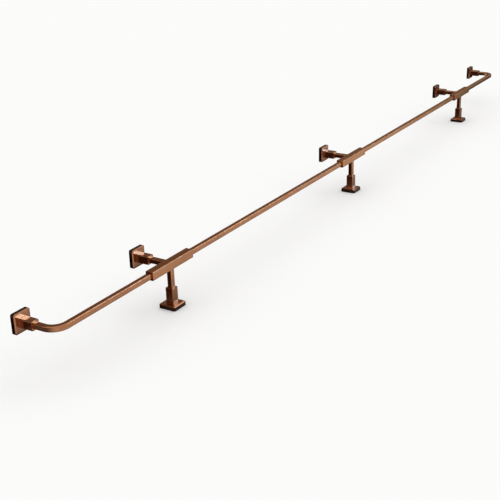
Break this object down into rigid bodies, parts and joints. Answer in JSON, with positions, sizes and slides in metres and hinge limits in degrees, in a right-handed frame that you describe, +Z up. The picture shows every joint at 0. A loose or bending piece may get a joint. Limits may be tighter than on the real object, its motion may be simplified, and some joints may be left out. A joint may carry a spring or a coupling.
{
  "type": "bar foot rail",
  "caption": "Square foot rail in aged copper on sleeve brackets with floor posts, wall arms and bevelled square flanges; both ends bend back to the bar front.",
  "frame": {"origin": "on the floor under the rail's axis, at the middle bracket's fixing plate", "axes": "+X along the rail, +Y towards the bar front, +Z up"},
  "size_m": [4.289, 0.1955, 0.2065],
  "materials": {
    "copper_tube": "drawn brass tube with a polished aged copper finish",
    "copper_sleeve": "brass sleeve with a polished aged copper finish",
    "copper_flange": "cast cover with a polished aged copper finish",
    "plate_steel": "zinc plated steel plate",
    "joining_steel": "plain drawn steel bar",
    "screw_steel": "zinc plated steel screw"
  },
  "bodies": {
    "frame": {"rail_tube_left_end": "copper_tube", "rail_tube_left_middle": "copper_tube", "rail_tube_right_end": "copper_tube", "rail_tube_right_middle": "copper_tube", "sleeve_left": "copper_sleeve", "rail_joiner_left": "joining_steel", "sleeve_set_screws_left": "screw_steel", "arm_left": "copper_tube", "arm_plug_left": "joining_steel", "arm_screw_left": "screw_steel", "post_left": "copper_tube", "post_plug_left": "joining_steel", "post_screw_left": "screw_steel", "floor_plate_left": "plate_steel", "sleeve_middle": "copper_sleeve", "rail_joiner_middle": "joining_steel", "sleeve_set_screws_middle": "screw_steel", "arm_middle": "copper_tube", "arm_plug_middle": "joining_steel", "arm_screw_middle": "screw_steel", "post_middle": "copper_tube", "post_plug_middle": "joining_steel", "post_screw_middle": "screw_steel", "floor_plate_middle": "plate_steel", "sleeve_right": "copper_sleeve", "rail_joiner_right": "joining_steel", "sleeve_set_screws_right": "screw_steel", "arm_right": "copper_tube", "arm_plug_right": "joining_steel", "arm_screw_right": "screw_steel", "post_right": "copper_tube", "post_plug_right": "joining_steel", "post_screw_right": "screw_steel", "floor_plate_right": "plate_steel", "wall_plate_left_end": "plate_steel", "wall_plate_left": "plate_steel", "wall_plate_middle": "plate_steel", "wall_plate_right": "plate_steel", "wall_plate_right_end": "plate_steel", "wall_lock_screws": "screw_steel", "floor_lock_screws": "screw_steel"},
    "floor_cover_left": {"floor_flange_left": "copper_flange", "floor_flange_screw_left": "screw_steel"},
    "floor_cover_middle": {"floor_flange_middle": "copper_flange", "floor_flange_screw_middle": "screw_steel"},
    "floor_cover_right": {"floor_flange_right": "copper_flange", "floor_flange_screw_right": "screw_steel"},
    "wall_cover_left_end": {"wall_flange_left_end": "copper_flange", "wall_flange_screw_left_end": "screw_steel"},
    "wall_cover_left": {"wall_flange_left": "copper_flange", "wall_flange_screw_left": "screw_steel"},
    "wall_cover_middle": {"wall_flange_middle": "copper_flange", "wall_flange_screw_middle": "screw_steel"},
    "wall_cover_right": {"wall_flange_right": "copper_flange", "wall_flange_screw_right": "screw_steel"},
    "wall_cover_right_end": {"wall_flange_right_end": "copper_flange", "wall_flange_screw_right_end": "screw_steel"}
  },
  "joints": [
    {"name": "wall_cover_slide_left_end", "type": "slide", "parent": "frame", "child": "wall_cover_left_end", "axis": [0, -1, 0], "range_m": [0, 0.036]},
    {"name": "wall_cover_slide_left", "type": "slide", "parent": "frame", "child": "wall_cover_left", "axis": [0, -1, 0], "range_m": [0, 0.069]},
    {"name": "wall_cover_slide_middle", "type": "slide", "parent": "frame", "child": "wall_cover_middle", "axis": [0, -1, 0], "range_m": [0, 0.069]},
    {"name": "wall_cover_slide_right", "type": "slide", "parent": "frame", "child": "wall_cover_right", "axis": [0, -1, 0], "range_m": [0, 0.069]},
    {"name": "wall_cover_slide_right_end", "type": "slide", "parent": "frame", "child": "wall_cover_right_end", "axis": [0, -1, 0], "range_m": [0, 0.036]},
    {"name": "floor_cover_slide_left", "type": "slide", "parent": "frame", "child": "floor_cover_left", "axis": [0, 0, 1], "range_m": [0, 0.072]},
    {"name": "floor_cover_slide_middle", "type": "slide", "parent": "frame", "child": "floor_cover_middle", "axis": [0, 0, 1], "range_m": [0, 0.072]},
    {"name": "floor_cover_slide_right", "type": "slide", "parent": "frame", "child": "floor_cover_right", "axis": [0, 0, 1], "range_m": [0, 0.072]}
  ]
}
